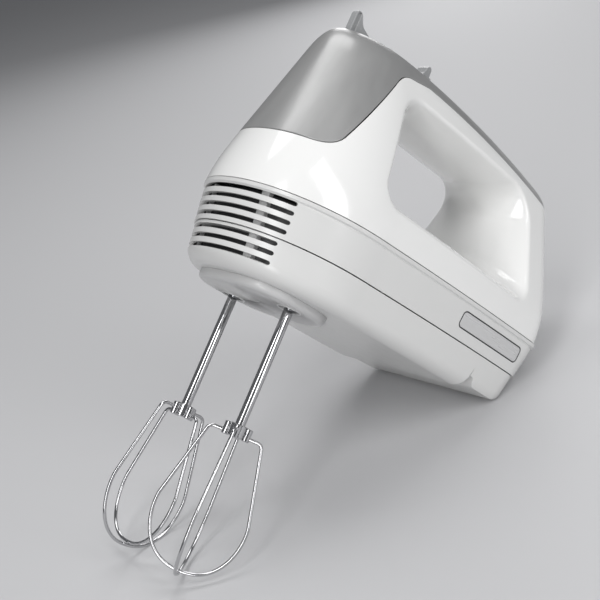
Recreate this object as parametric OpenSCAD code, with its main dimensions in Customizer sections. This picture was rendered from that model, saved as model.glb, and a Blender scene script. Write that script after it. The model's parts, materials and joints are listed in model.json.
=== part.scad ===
// Hand mixer with two whisk beaters, standing on its beater tips and its heel.
//
// Every piece is drawn in the mixer's working frame: +X points to the rear wall, -Y is the
// user's left, +Z runs up along the beater axes, and the origin lies midway between the two
// beater axes on the underside of the spindle plate. stand() then tilts the whole mixer nose up
// about Y, so that the beater tips and the heel facet share the floor plane z = 0.

/* [Casing] */
// Width of the casing at the upper seam
body_w = 109; // [106:0.5:112]
// Distance from the beater plane forward to the nose
nose_l = 47; // [45:0.5:49]
// Distance from the beater plane back to the rear wall
rear_l = 149; // [146:1:152]
// Height of the crown above the underside of the spindle plate
crown_h = 143.5; // [141:0.5:147]
// Wall thickness of the moulded shells
wall = 2.3; // [1.8:0.1:2.6]
// Gap between neighbouring shells along a seam
seam_gap = 0.4; // [0.3:0.1:0.6]

/* [Handle opening] */
// Height of the underside of the grip at the centre plane
grip_under = 115; // [112:0.5:117]
// How much lower the opening reaches at its two rims than at the centre plane
flare = 9; // [6:0.5:10]

/* [Beaters] */
// Distance between the two beater axes
beater_gap = 44; // [43.5:0.1:44.5]
// Diameter of a beater shaft
shaft_d = 4.9; // [4.6:0.1:5.0]
// Depth of the beater tips below the spindle plate
tip_drop = 132; // [125:1:136]
// Largest radius of the wire cage, to the middle of the wire
cage_r = 22.4; // [20:0.2:23]
// Diameter of the cage wire
wire_d = 1.7; // [1.5:0.1:2.0]

/* [Drive] */
// Teeth on each spindle gear
gear_teeth = 36; // [34:1:38]
// Pitch radius of the worm
worm_r = 4.5; // [4.4:0.1:4.6]
// Height of the motor shaft above the spindle plate
motor_z = 40; // [39:0.5:41]

/* [Controls] */
// Travel of the beater release lever
eject_stroke = 9; // [7:0.5:10]
// Travel of the speed slider
slider_travel = 24; // [16:1:24]

/* [Hidden] */

white = [0.93, 0.93, 0.92];
off_white = [0.84, 0.84, 0.83];
silver = [0.62, 0.63, 0.64];
pale_grey = [0.74, 0.75, 0.75];
dark = [0.16, 0.16, 0.17];
steel = [0.78, 0.79, 0.80];
copper = [0.72, 0.43, 0.22];
brass = [0.80, 0.66, 0.34];
iron = [0.42, 0.43, 0.45];
nylon = [0.90, 0.88, 0.80];

slop = 0.05;                     // radial clearance of a running fit
seat = 0.02;                     // radial clearance of a bore that is pressed or glued on
eps = 0.02;                      // overlap of shapes that fuse within one piece
seam_lo = 23.6;                  // height of the lower seam
seam_hi = 44.3;                  // height of the upper seam
floor_z = 4.5;                   // underside of the base shell
crown_r = 16;                    // depth of the rounded crown
rear_r = 14;                     // radius of the two rear corners in plan
spindle_y = beater_gap / 2;
heel_x = 139;                    // middle of the heel facet, where the mixer rests
heel_z = 11.6;
collar_z = -61;                  // height of the hub that holds the wires
beater_turn = [44, -1];          // turn of the left and of the right beater about its axis

// How far the cage of the beaters reaches below the origin when the mixer is tilted by t.
function cage_reach(t) = wire_d / 2 + max([
    for (p = leg(0, collar_z), a = beater_turn)
        p[0] * sin(t) * max(abs(cos(a)), abs(sin(a))) - p[1] * cos(t)]);

// How far the heel reaches below the origin at tilt t.
function heel_reach(t) = heel_x * sin(t) - heel_z * cos(t);

// The tilt at which cage and heel touch one plane, by halving the interval n times.
function solve_tilt(lo, hi, n) =
    let (mid = (lo + hi) / 2)
    n == 0 ? mid
    : heel_reach(mid) > cage_reach(mid) ? solve_tilt(lo, mid, n - 1) : solve_tilt(mid, hi, n - 1);

rest_tilt = solve_tilt(40, 65, 24);
rest_h = heel_reach(rest_tilt);

// ---- placement -------------------------------------------------------------------------------

// Tilts a piece from the working frame to the resting frame, and centres it over the origin.
module stand() {
    translate([-stand_x, 0, rest_h]) rotate([0, rest_tilt, 0]) children();
}

// Ends of the resting mixer along X: the back of the casing, and the front of the cage.
back_end = max([for (z = upper_levels(4, 12), p = upper_ring(z, 0, 12))
    p.x * cos(rest_tilt) + p.z * sin(rest_tilt)]);
front_end = min([for (p = leg(0, collar_z), a = beater_turn)
    -p[0] * cos(rest_tilt) * max(abs(cos(a)), abs(sin(a))) + p[1] * sin(rest_tilt)]) - wire_d / 2;
stand_x = (back_end + front_end) / 2;

// Turns a shape drawn along +Z so that it lies along +X, at the motor's height.
module along_shaft(x) {
    translate([x, 0, motor_z]) rotate([0, 90, 0]) children();
}

// Places a shape on one beater axis: side is -1 for the left and 1 for the right.
module at_spindle(side, z = 0) {
    translate([0, side * spindle_y, z]) children();
}

module tube(r_out, r_in, h) {
    difference() {
        cylinder(r = r_out, h = h, $fn = 48);
        translate([0, 0, -1]) cylinder(r = r_in, h = h + 2, $fn = 48);
    }
}

module centred_box(size, at) {
    translate(at) translate(-size / 2) cube(size);
}

// ---- casing surface --------------------------------------------------------------------------

// Smooth ramp: 0 well below u = 0, and u well above it.
function ramp(u, k) = (u + sqrt(u * u + k * k)) / 2;

// Half width of the casing at height z, before the crown rounds it off.
function half_w(z) = z < seam_hi
    ? body_w / 2 - 0.12 * (seam_hi - z)
    : body_w / 2 + 0.57 - 0.40 * ramp(z - 60, 10);

// Distance from the beater plane to the nose at height z.
function nose(z) = z < seam_hi
    ? nose_l - 0.13 * (seam_hi - z)
    : nose_l + 0.85 - 0.23 * ramp(z - 50, 12);

// X of the widest point of the rounded nose at height z.
function nose_mid(z) = 15 - 0.09 * max(0, z - seam_hi);

// Height of the crown line at x: highest over the slider, falling gently both ways.
function crown(x) = crown_h - (x > 22 ? 0.00072 : 0.0022) * pow(x - 22, 2);

// The flanks bow outwards a little, and are widest at x = 70.
function bow(x) = 1 - 0.04 * pow((max(x, 15) - 70) / 70, 2);

// Half of a plan outline, from the nose round to the rear, as [x, y] with y >= 0.
// Arguments: nose, middle of the nose curve, half width, rear, number of steps.
function half_outline(a, mid, w, rear, steps) =
    let (rr = min(rear_r, 0.8 * w), flat = rear - rr)
    concat(
        [for (i = [0 : steps])
            let (f = 90 * i / steps)
            [mid - (a + mid) * pow(cos(f), 2 / 2.15), w * bow(15) * pow(sin(f), 2 / 2.15)]],
        [for (i = [1 : steps / 2])
            let (x = mid + (flat - mid) * i / (steps / 2)) [x, w * bow(x)]],
        [for (i = [1 : steps / 2])
            let (f = 90 * i / (steps / 2))
            [flat + rr * sin(f), w * bow(flat) - rr + rr * cos(f)]],
        [[rear, 0]]);

// The whole outline: the half outline, then its mirror image.
function outline(a, mid, w, rear, steps) =
    let (h = half_outline(a, mid, w, rear, steps), n = len(h))
    concat(h, [for (i = [n - 2 : -1 : 1]) [h[i].x, -h[i].y]]);

// One ring of the upper casing at nominal height z, drawn inwards by d.
function upper_ring(z, d, steps) =
    let (
        top = crown_h,
        u = max(0, (z - (top - crown_r)) / crown_r),
        side = pow(1 - pow(u, 2.5), 0.4),
        pull = 12 * (1 - pow(1 - pow(u, 4), 0.25)),
        share = (z - seam_hi) / (top - seam_hi),
        pts = outline(nose(z) - d - pull, nose_mid(z), (half_w(z) - d) * side,
                      rear_l - d - pull, steps))
    [for (p = pts) [p.x, p.y, share < 0 ? z : seam_hi + (crown(p.x) - d - seam_hi) * share]];

// Ring heights of the upper casing: even up the flanks, and closer round the crown.
function upper_levels(n_side, n_crown) =
    let (s = crown_h - crown_r)
    concat(
        [for (i = [0 : n_side]) seam_hi + (s - seam_hi) * i / n_side],
        [for (i = [1 : n_crown]) s + crown_r * sin(86 * i / n_crown)]);

// Skins a list of equal rings; both ends are closed by strips between mirrored points.
module skin(rings) {
    n = len(rings[0]);
    m = len(rings);
    half = n / 2;
    side = [for (k = [0 : m - 2], i = [0 : n - 1])
        let (j = (i + 1) % n)
        each [[k * n + i, k * n + j, (k + 1) * n + j], [k * n + i, (k + 1) * n + j, (k + 1) * n + i]]];
    caps = [for (k = [0, m - 1], i = [0 : half - 1])
        let (
            a = k * n + i, b = k * n + i + 1,
            c = k * n + (n - i) % n, d = k * n + (n - i - 1),
            tris = i == 0 ? [[a, b, d]] : i == half - 1 ? [[a, b, c]] : [[a, b, d], [a, d, c]])
        each [for (t = tris) k == 0 ? [t[0], t[2], t[1]] : t]];
    polyhedron(points = [for (r = rings) each r], faces = concat(side, caps));
}

// Solid upper casing, drawn inwards by d and starting at height z0.
module upper_solid(d = 0, z0 = seam_hi, steps = 12, n_side = 7, n_crown = 7) {
    levels = concat([z0], [for (z = upper_levels(n_side, n_crown)) if (z > z0 + 0.01) z]);
    skin([for (z = levels) upper_ring(z, d, steps)]);
}

// Rear wall of the band and the base at height z: it slants in towards the heel.
function low_rear(z) = rear_l + 1.3 - 0.20 * (seam_hi - z);

// How far the lower edge of the base is rounded in at height z.
function edge_in(z) = z > 12 ? 0 : 7.5 - sqrt(max(0, 56.25 - pow(12 - z, 2)));

// Solid lower casing between heights z0 and z1, drawn inwards by d.
module lower_solid(z0, z1, d = 0, steps = 12, extra = []) {
    skin([for (z = concat([z0], extra, [z1]))
        [for (p = outline(nose(z) - d - edge_in(z), 15, half_w(z) - d - edge_in(z),
                          low_rear(z) - d - edge_in(z) / 3, steps)) [p.x, p.y, z]]]);
}

// ---- handle opening --------------------------------------------------------------------------

// Corner centres and radii of the opening's outline in side view, at the rims and at the centre.
// Each row is [x, z, radius]; the order is lower front, lower rear, upper rear, upper front.
rim_corners = [[14, 80.5 - flare, 10.5], [113, 78 - flare, 9.5], [104.5, 103.5, 17.5], [22, 108, 13.5]];
mid_corners = [[21, 81, 11], [100, 81, 11], [99, grip_under - 13, 13], [32, grip_under - 11, 11]];

// Outline of the opening at share s from the centre (0) to a rim (1), drawn outwards by d.
function opening_outline(s, d, steps) =
    let (e = pow(min(1, abs(s)), 2.2))
    [for (c = [0 : 3], i = [0 : steps])
        let (
            f = 180 + 90 * c + 90 * i / steps,
            q = mid_corners[c] + (rim_corners[c] - mid_corners[c]) * e)
        [q[0] + (q[2] + d) * cos(f), q[1] + (q[2] + d) * sin(f)]];

// The air of the handle opening, or with d > 0 the block that its walls are cut from.
module opening(d = 0, steps = 5, rings = 12, out = 1.25) {
    skin_loop([for (k = [0 : rings])
        let (s = -out + 2 * out * k / rings)
        [for (p = opening_outline(s, d, steps)) [p[0], s * half_w(p[1]), p[1]]]]);
}

// Skins rings that have no mirror line, closing both ends with a fan.
module skin_loop(rings) {
    n = len(rings[0]);
    m = len(rings);
    side = [for (k = [0 : m - 2], i = [0 : n - 1])
        let (j = (i + 1) % n)
        each [[k * n + i, k * n + j, (k + 1) * n + j], [k * n + i, (k + 1) * n + j, (k + 1) * n + i]]];
    first = [for (i = [1 : n - 2]) [0, i + 1, i]];
    last = [for (i = [1 : n - 2]) [(m - 1) * n, (m - 1) * n + i, (m - 1) * n + i + 1]];
    polyhedron(points = [for (r = rings) each r], faces = concat(side, first, last));
}

// ---- parting lines ---------------------------------------------------------------------------

cover_low = 72.7;                // height of the cover's edge round the nose
cover_drop = 11.6;               // depth of the cover's edge below the crown, along the handle

// Side view of the edge between cover and upper shell, from the nose to the rear.
function arc_pts(c, r, f0, f1, n) =
    [for (i = [0 : n]) let (f = f0 + (f1 - f0) * i / n) [c.x + r * cos(f), c.y + r * sin(f)]];
cover_edge = concat(
    [[-70, cover_low]],
    arc_pts([-33.5, cover_low + 14], 14, -90, -27, 6),
    arc_pts([12.6, 117.3], 12, 153, 93, 6),
    [for (i = [0 : 6]) let (x = 24 + 21 * i) [x, crown(x) - cover_drop]]);

// Everything above the cover's edge, moved up by g.
module above_edge(g) {
    rotate([90, 0, 0]) linear_extrude(height = 160, center = true)
        polygon(concat([for (p = cover_edge) [p.x, p.y + g]], [[160, 170], [-70, 170]]));
}

// Everything under the cover's edge, moved up by g.
module below_edge(g) {
    rotate([90, 0, 0]) linear_extrude(height = 160, center = true)
        polygon(concat([for (p = cover_edge) [p.x, p.y + g]], [[160, 0], [-70, 0]]));
}

// ---- casing ----------------------------------------------------------------------------------

boss_front = [33, 41.5];
boss_rear = [131, 34];
boss_list = [for (p = [boss_front, boss_rear], s = [-1, 1]) [p.x, s * p.y]];

// A closed walled body: the outer casing, hollow, with walls round the handle opening.
module walled() {
    difference() {
        union() {
            difference() {
                upper_solid(z0 = seam_hi + seam_gap / 2);
                upper_solid(d = wall, z0 = seam_hi - 2, steps = 8, n_side = 5, n_crown = 4);
            }
            intersection() {
                upper_solid(d = 0.3, z0 = seam_hi + seam_gap / 2, n_side = 5, n_crown = 4);
                opening(d = wall);
            }
        }
        opening();
    }
}

module upper_shell() {
    color(white) resize([0, 0, 0]) union() {
        difference() {
            walled();
            above_edge(-seam_gap / 2);
        }
        for (p = boss_list) boss(p, 25.6, p.x < 80 ? 63.4 : 60);
        for (s = [-1, 1]) centred_box([16, 2, 12], [boss_rear.x + 8.5, s * boss_rear.y, 53]);
    }
}

// Hollow screw post hanging from the upper shell.
module boss(p, z0, z1) {
    translate([p.x, p.y, z0]) difference() {
        cylinder(r = 4, h = z1 - z0, $fn = 20);
        translate([0, 0, -1]) cylinder(r = 1.6, h = 21, $fn = 16);
    }
}

module top_cover() {
    color(silver) resize([0, 0, 0]) difference() {
        upper_solid(z0 = seam_hi + 3);
        upper_solid(d = wall, z0 = seam_hi, steps = 8, n_side = 4, n_crown = 4);
        below_edge(seam_gap / 2);
        centred_box([19.6, 4.6, 30], [lever_x, 0, crown_h]);
        centred_box([slider_travel + 9, 3.2, 30], [slider_x - slider_travel / 2, 0, crown_h]);
    }
}

vent_h = 2.3;
band_vents = [for (i = [0 : 3]) [40.6 - 4.5 * i, -30.8]];
base_vents = [for (i = [0 : 2]) [21 - 4.6 * i, -32.3]];

// One ventilation slot round the nose: [height, x where it ends on the flanks].
module vent(v) {
    hull() for (s = [-1, 1]) {
        translate([v[1] - vent_h / 2, 0, v[0]]) rotate([90, 0, 0])
            cylinder(r = vent_h / 2, h = 140, center = true, $fn = 16);
        translate([-60, 0, v[0]]) rotate([90, 0, 0])
            cylinder(r = vent_h / 2, h = 140, center = true, $fn = 16);
    }
}

// A ring of casing wall between two heights, with lips that reach into its neighbours.
module mid_band() {
    z0 = seam_lo + seam_gap / 2;
    z1 = seam_hi - seam_gap / 2;
    lip = wall + 0.3;
    color(off_white) resize([0, 0, 0]) difference() {
        union() {
            lower_solid(z0, z1, steps = 16);
            lower_solid(z0 - 2, z1 + 2, d = lip, steps = 8, extra = [seam_hi]);
        }
        lower_solid(z0 - 4, z1 + 4, d = lip + 1.3, steps = 8, extra = [seam_hi]);
        for (v = band_vents) vent(v);
        gland_hole();
        // The rear wall steps out under the seam, so the upper lip stops short of it.
        centred_box([30, 120, 4], [rear_l, 0, seam_hi + 2]);
    }
}

// Side view of the heel, the foot and the bowl-rest notch, as the air below them.
notch_x = 103;
module heel_air() {
    t = rest_tilt;
    half = 3;
    rotate([90, 0, 0]) linear_extrude(height = 160, center = true) polygon([
        [notch_x, -20], [notch_x, 5.4], [notch_x + 1.2, 9.5], [notch_x + 3, 11.6], [notch_x + 5, 12],
        [notch_x + 7, 11.2], [notch_x + 8.2, 9.2], [notch_x + 10, 7.8], [notch_x + 12, 7.4],
        [heel_x - half * cos(t) - 4, 7.4],
        [heel_x - half * cos(t), heel_z - half * sin(t)],
        [heel_x + half * cos(t), heel_z + half * sin(t)],
        [rear_l - 3.2, 20], [rear_l + 20, 24], [rear_l + 20, -20]]);
}

module base_shell() {
    z1 = seam_lo - seam_gap / 2;
    color(off_white) resize([0, 0, 0]) difference() {
        union() {
            difference() {
                lower_solid(floor_z, z1, steps = 16, extra = [5.1, 6.5, 9, 12]);
                intersection() {
                    lower_solid(floor_z + wall, z1 + 2, d = wall, steps = 8, extra = [9, 12]);
                    rotate([90, 0, 0]) linear_extrude(height = 160, center = true) polygon([
                        [-60, floor_z + wall], [notch_x - 4, floor_z + wall], [notch_x - 1, 14.6],
                        [notch_x + 10, 14.6], [notch_x + 12, 10.2], [heel_x - 9, 10.2],
                        [heel_x + 1, 19], [heel_x + 21, 30], [-60, 30]]);
                }
            }
            for (p = boss_list) translate([p.x, p.y, p.x < 80 ? 5.5 : 9.5])
                cylinder(r = 5, h = p.x < 80 ? 19.7 : 15.7, $fn = 20);
            for (p = frame_posts) translate([p.x, p.y, 6.5]) cylinder(r = 3, h = 3.45, $fn = 16);
            for (x = [56, 72]) centred_box([4, 34, 12.4], [x, 0, 12.7]);
        }
        heel_air();
        for (p = boss_list) translate([p.x, p.y, 0]) {
            cylinder(r = 1.9, h = 40, $fn = 16);
            cylinder(r = 3.6, h = p.x < 80 ? 10 : 13, $fn = 20);
        }
        for (v = base_vents) vent(v);
        for (s = [-1, 1]) at_spindle(s) cylinder(r = 6.2, h = 20, $fn = 32);
        for (p = plate_screws) translate([p.x, p.y, 0]) cylinder(r = 1.3, h = 20, $fn = 12);
    }
}

plate_c = -0.5;
plate_screws = [[20, -14], [20, 14]];

// Rounded outline of the spindle plate, drawn inwards by d.
function plate_outline(d) =
    [for (i = [0 : 47]) let (f = 7.5 * i, c = cos(f), s = sin(f))
        [plate_c + (28.5 - d) * sign(c) * pow(abs(c), 2 / 2.7),
         (32 - d) * sign(s) * pow(abs(s), 2 / 2.7)]];

module spindle_plate() {
    color(pale_grey) difference() {
        union() {
            translate([0, 0, 1.2]) linear_extrude(height = floor_z - 1.2) polygon(plate_outline(0));
            translate([0, 0, 0.5]) linear_extrude(height = 0.7 + eps) polygon(plate_outline(0.4));
            linear_extrude(height = 0.5 + eps) polygon(plate_outline(1.4));
        }
        for (s = [-1, 1]) at_spindle(s, -1) cylinder(r = 5.4, h = 10, $fn = 48);
        for (p = plate_screws) translate([p.x, p.y, -1]) {
            cylinder(r = 1.7, h = 10, $fn = 24);
            cylinder(r = 3.2, h = 3, $fn = 24);
        }
    }
}

// Ribs that stand just behind the ventilation slots, with a bar that follows the nose.
module vent_baffle() {
    d = wall + 2;
    color(pale_grey) resize([0, 0, 0]) intersection() {
        difference() {
            lower_solid(8.8, seam_hi - 1, d = d, steps = 8, extra = [12]);
            lower_solid(8, seam_hi, d = d + 2, steps = 8, extra = [12]);
        }
        union() {
            for (s = [-1, 1]) centred_box([60, 3.6, 80], [-40, s * 20, 30]);
            centred_box([60, 66, 2], [-46, 0, seam_lo]);
        }
    }
}

badge_x = 106;
badge_l = 54;
// Plain pill-shaped inlay on each flank of the band, following its bowed surface.
module side_badge() {
    proud = 0.25;
    color(silver) resize([0, 0, 0]) intersection() {
        difference() {
            lower_solid(seam_lo + 2, seam_hi - 2, d = -proud, steps = 16);
            lower_solid(seam_lo, seam_hi, d = -seat, steps = 16);
        }
        rotate([90, 0, 0]) linear_extrude(height = 140, center = true)
            hull() for (x = [badge_x - badge_l / 2 + 4, badge_x + badge_l / 2 - 4])
                translate([x, gland_z]) circle(r = 4, $fn = 32);
    }
}

gland_z = 34;
module gland_hole() {
    translate([low_rear(gland_z) - 20, 0, gland_z]) rotate([0, 90, 0]) cylinder(r = 6, h = 40, $fn = 32);
}

// Bushing in the rear wall that the supply cord would pass through.
module cord_gland() {
    x1 = low_rear(gland_z - 8) - 0.2;
    color(dark) translate([x1 - 14, 0, gland_z]) rotate([0, 90, 0]) difference() {
        union() {
            cylinder(r = 5.9, h = 14, $fn = 48);
            translate([0, 0, 6.4]) cylinder(r = 8, h = 2.4, $fn = 48);
        }
        translate([0, 0, -1]) cylinder(r = 3.2, h = 20, $fn = 48);
    }
}

// Screws that close the casing from below, and the two that hold the spindle plate.
module housing_screws() {
    color(steel) {
        for (p = boss_list) screw([p.x, p.y, p.x < 80 ? 9.9 : 12.9], 1.5, 28);
        for (p = plate_screws) screw([p.x, p.y, 1.9], 1.2, 7.4);
    }
}

module screw(at, r, length) {
    translate(at) {
        cylinder(r = r, h = length, $fn = 24);
        difference() {
            translate([0, 0, -1.7]) cylinder(r = 2 * r, h = 1.7 + eps, $fn = 24);
            centred_box([0.7, 3 * r, 1.6], [0, 0, -1.7]);
            centred_box([3 * r, 0.7, 1.6], [0, 0, -1.7]);
        }
    }
}

// ---- drive frame -----------------------------------------------------------------------------

frame_posts = [for (x = [-19, 21.5], s = [-1, 1]) [x, s * 33.5]];
frame_outline = [[-25, -9], [-25, 9], [-21.5, 36], [26.4, 38], [26.4, -38], [-21.5, -36]];
gear_z = motor_z;
gear_h = 9;
upper_plate_z = 52;

// Die-cast frame that carries both spindles, the front of the motor shaft and the lever guide.
module gear_frame() {
    color(iron) difference() {
        union() {
            for (z = [10, upper_plate_z])
                translate([0, 0, z]) linear_extrude(height = 3) polygon(frame_outline);
            for (p = frame_posts) translate([p.x, p.y, 12.5]) cylinder(r = 2.4, h = 40, $fn = 32);
            for (s = [-1, 1]) at_spindle(s, 10) cylinder(r = 8.4, h = 12, $fn = 48);
            translate([-25, -7, 12.5]) cube([7, 14, 34.5]);
            for (s = [-1, 1]) translate([22, s * 22 - 3, 12.5]) cube([4.4, 6, 40]);
            translate([-14.5, -3, upper_plate_z + 2.5]) cube([3, 6, 23.5]);
            translate([-14.5, -6.2, 75]) cube([13.4, 12.4, 3]);
        }
        for (s = [-1, 1]) {
            at_spindle(s, 5) cylinder(r = 6.4, h = 20, $fn = 48);
            at_spindle(s, 50) cylinder(r = 4.5 + slop, h = 10, $fn = 48);
        }
        along_shaft(-30) cylinder(r = 5.5, h = 20, $fn = 48);
        translate([lever_x, 0, 70]) cylinder(r = 2.6, h = 20, $fn = 32);
        for (s = [-1, 1], z = [22, 50]) translate([20, s * 22, z]) rotate([0, 90, 0])
            cylinder(r = 1.6, h = 10, $fn = 24);
    }
}

module bushing(side) {
    color(brass) at_spindle(side, 9) tube(6.4, 4.5 + slop, 13.6);
}

module front_bearing() {
    color(brass) along_shaft(-25) tube(5.5, 2.5 + slop, 7);
}

stator_x = 52;
stator_l = 28;
stator_w = 50;
stator_h = 42;
bracket_x = 100;
bolt_ys = [-22, 22];
bolt_zs = [22, 50];

// Rear cradle of the motor, which holds the rear bearing.
module motor_bracket() {
    color(iron) difference() {
        union() {
            translate([bracket_x, -25, motor_z - 21]) cube([3, 50, 36]);
            along_shaft(bracket_x) cylinder(r = 8.5, h = 7, $fn = 48);
            for (s = [-1, 1]) centred_box([13, 6, 2.4], [bracket_x - 6, s * 17, motor_z + 5.25]);
        }
        along_shaft(bracket_x - 1) cylinder(r = 5.5, h = 12, $fn = 48);
        for (y = bolt_ys, z = bolt_zs) translate([bracket_x - 1, y, z]) rotate([0, 90, 0])
            cylinder(r = 1.6, h = 10, $fn = 24);
    }
}

module rear_bearing() {
    color(brass) along_shaft(bracket_x) tube(5.5, 2.5 + slop, 7);
}

// Four long bolts that tie bracket, stator and gear frame together, with spacer sleeves.
module motor_bolts() {
    color(steel) for (y = bolt_ys, z = bolt_zs) translate([0, y, z]) rotate([0, 90, 0]) {
        translate([0, 0, 21]) cylinder(r = 1.5, h = 84, $fn = 24);
        translate([0, 0, 103.1]) cylinder(r = 3, h = 2.4, $fn = 24);
        translate([0, 0, 26.5]) cylinder(r = 2.4, h = 25.4, $fn = 24);
        translate([0, 0, 80.1]) cylinder(r = 2.4, h = 19.8, $fn = 24);
    }
}

// Laminated field frame: two poles above and below the bore, and a window on each side.
module motor_stator() {
    color(iron) along_shaft(stator_x) difference() {
        linear_extrude(height = stator_l) difference() {
            rounded_rect(stator_h, stator_w, 5);
            circle(r = 15.6, $fn = 64);
            for (s = [-1, 1]) translate([-10.5, s < 0 ? -19.4 : 9]) square([21, 10.4]);
        }
        for (y = bolt_ys, z = bolt_zs) translate([motor_z - z, y, -1])
            cylinder(r = 1.6, h = stator_l + 2, $fn = 24);
    }
}

module rounded_rect(x, y, r) {
    union() {
        square([x, y - 2 * r], center = true);
        square([x - 2 * r, y], center = true);
        for (a = [-1, 1], b = [-1, 1])
            translate([a * (x / 2 - r), b * (y / 2 - r)]) circle(r = r, $fn = 32);
    }
}

// The two field windings, each a bar in a window with an end turn at both faces.
module field_coils() {
    color(copper) along_shaft(stator_x - 6) for (s = [-1, 1]) {
        centred_box([19, 2.4, stator_l + 12], [0, s * 17.6, stator_l / 2 + 6]);
        for (e = [2.5, stator_l + 9.5]) centred_box([14.6, 5.8, 5], [0, s * 17.5, e]);
    }
}

commutator_x = 87;
module brush_holders() {
    color(brass) for (s = [-1, 1]) translate([commutator_x + 1.5, 0, motor_z]) difference() {
        translate([-1, s > 0 ? 10 : -25, -4]) cube([8, 15, 8]);
        translate([0.4, s > 0 ? 9 : -24, -2.6]) cube([5.2, 15, 5.2]);
    }
}

module carbon_brushes() {
    color(dark) for (s = [-1, 1]) translate([commutator_x + 2, s > 0 ? 8.2 : -16.2, motor_z - 2.5])
        cube([5, 8, 5]);
}

module brush_springs() {
    color(steel) for (s = [-1, 1], i = [0 : 5])
        translate([commutator_x + 4.5, s * (16.6 + 1.15 * i), motor_z]) rotate([90, 0, 0])
            rotate_extrude($fn = 24) translate([1.7, 0]) circle(r = 0.3, $fn = 16);
}

// ---- armature --------------------------------------------------------------------------------

module armature_shaft() {
    color(steel) along_shaft(-27) cylinder(r = 2.5, h = 135, $fn = 48);
}

worm_starts = 2;
worm_lead = worm_starts * 2 * PI * (spindle_y - worm_r) / gear_teeth;
worm_l = 4.5 * worm_lead;         // puts a thread opposite each gear's centre
tooth_add = 0.85;                // height of a tooth above the pitch circle
tooth_ded = 1.15;                // depth of a tooth gap below the pitch circle
thread_share = 0.40;             // part of the pitch that a worm thread fills at the pitch circle
tooth_share = 0.38;              // part of the pitch that a gear tooth fills at the pitch circle

// Half width of a tooth, as a share of the pitch, at height h above the pitch circle.
function tooth_half(share, h) = share / 2 - h * tan(20) / (2 * PI * (spindle_y - worm_r) / gear_teeth);

// Cross-section of one worm thread as [share of the pitch, radius]: the bottom of the gap, then up
// the flank, over the crest and down again.
worm_thread =
    let (
        tip = tooth_half(thread_share, tooth_add),
        root = tooth_half(thread_share, -tooth_ded),
        up = [for (i = [0 : 4]) [-root + (root - tip) * i / 4,
                                 worm_r - tooth_ded + (tooth_add + tooth_ded) * i / 4]])
    concat([[-0.5, worm_r - tooth_ded]], up, [[0, worm_r + tooth_add]],
           [for (i = [4 : -1 : 0]) [-up[i][0], up[i][1]]]);

module worm() {
    color(steel) along_shaft(-worm_l / 2) difference() {
        linear_extrude(height = worm_l, twist = -360 * worm_l / worm_lead, slices = 62)
            polygon([for (t = [0 : worm_starts - 1], p = worm_thread)
                let (f = 360 * (t + p[0]) / worm_starts) p[1] * [cos(f), sin(f)]]);
        translate([0, 0, -1]) cylinder(r = 2.5 + seat, h = worm_l + 2, $fn = 48);
    }
}

module armature_core() {
    slots = 12;
    color(iron) along_shaft(stator_x + 1) difference() {
        cylinder(r = 15, h = stator_l - 2, $fn = 64);
        translate([0, 0, -1]) cylinder(r = 2.5, h = stator_l, $fn = 48);
        for (i = [0 : slots - 1]) rotate([0, 0, 360 * i / slots]) {
            translate([10, -1.2, -1]) cube([3.6, 2.4, stator_l]);
            translate([13, -0.6, -1]) cube([3, 1.2, stator_l]);
        }
    }
}

// Heads of the armature winding, a thick rounded collar at each face of the core.
module armature_windings() {
    color(copper) for (x = [stator_x - 6, stator_x + stator_l - 1]) along_shaft(x)
        rotate_extrude($fn = 64) difference() {
            translate([2.5, 0]) square([11.3, 7]);
            translate([12.3, 0]) square([2, 1]);
            translate([12.3, 6]) square([2, 1]);
        }
}

module commutator() {
    bars = 12;
    color(copper) along_shaft(commutator_x) difference() {
        cylinder(r = 8, h = 11, $fn = 64);
        translate([0, 0, -1]) cylinder(r = 2.5, h = 14, $fn = 48);
        for (i = [0 : bars - 1]) rotate([0, 0, 360 * i / bars])
            translate([7.2, -0.25, -1]) cube([2, 0.5, 14]);
    }
}

fan_x = 31;
module cooling_fan() {
    blades = 9;
    color(nylon) along_shaft(fan_x) difference() {
        union() {
            cylinder(r = 6.5, h = 13, $fn = 48);
            translate([0, 0, 11]) cylinder(r = 20, h = 2, $fn = 64);
            for (i = [0 : blades - 1]) rotate([0, 0, 360 * i / blades])
                translate([6, -0.7, 2]) rotate([0, 0, 14]) cube([13, 1.4, 9 + eps]);
        }
        translate([0, 0, -1]) cylinder(r = 2.5, h = 20, $fn = 48);
    }
}

// ---- spindles --------------------------------------------------------------------------------

spindle_top = 55.5;
module spindle(side) {
    color(steel) at_spindle(side) difference() {
        union() {
            translate([0, 0, 0.4]) cylinder(r = 4.5, h = spindle_top - 0.4, $fn = 48);
            translate([0, 0, 24]) cylinder(r = 6, h = gear_z - gear_h / 2 - 24, $fn = 48);
        }
        translate([0, 0, -1]) cylinder(r = shaft_d / 2 + slop, h = 70, $fn = 48);
        translate([0, 0, 44.7]) tube(6, 3.9, 1.1);
        centred_box([12, 1.9, 9.1], [0, 0, 4]);
    }
}

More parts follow.
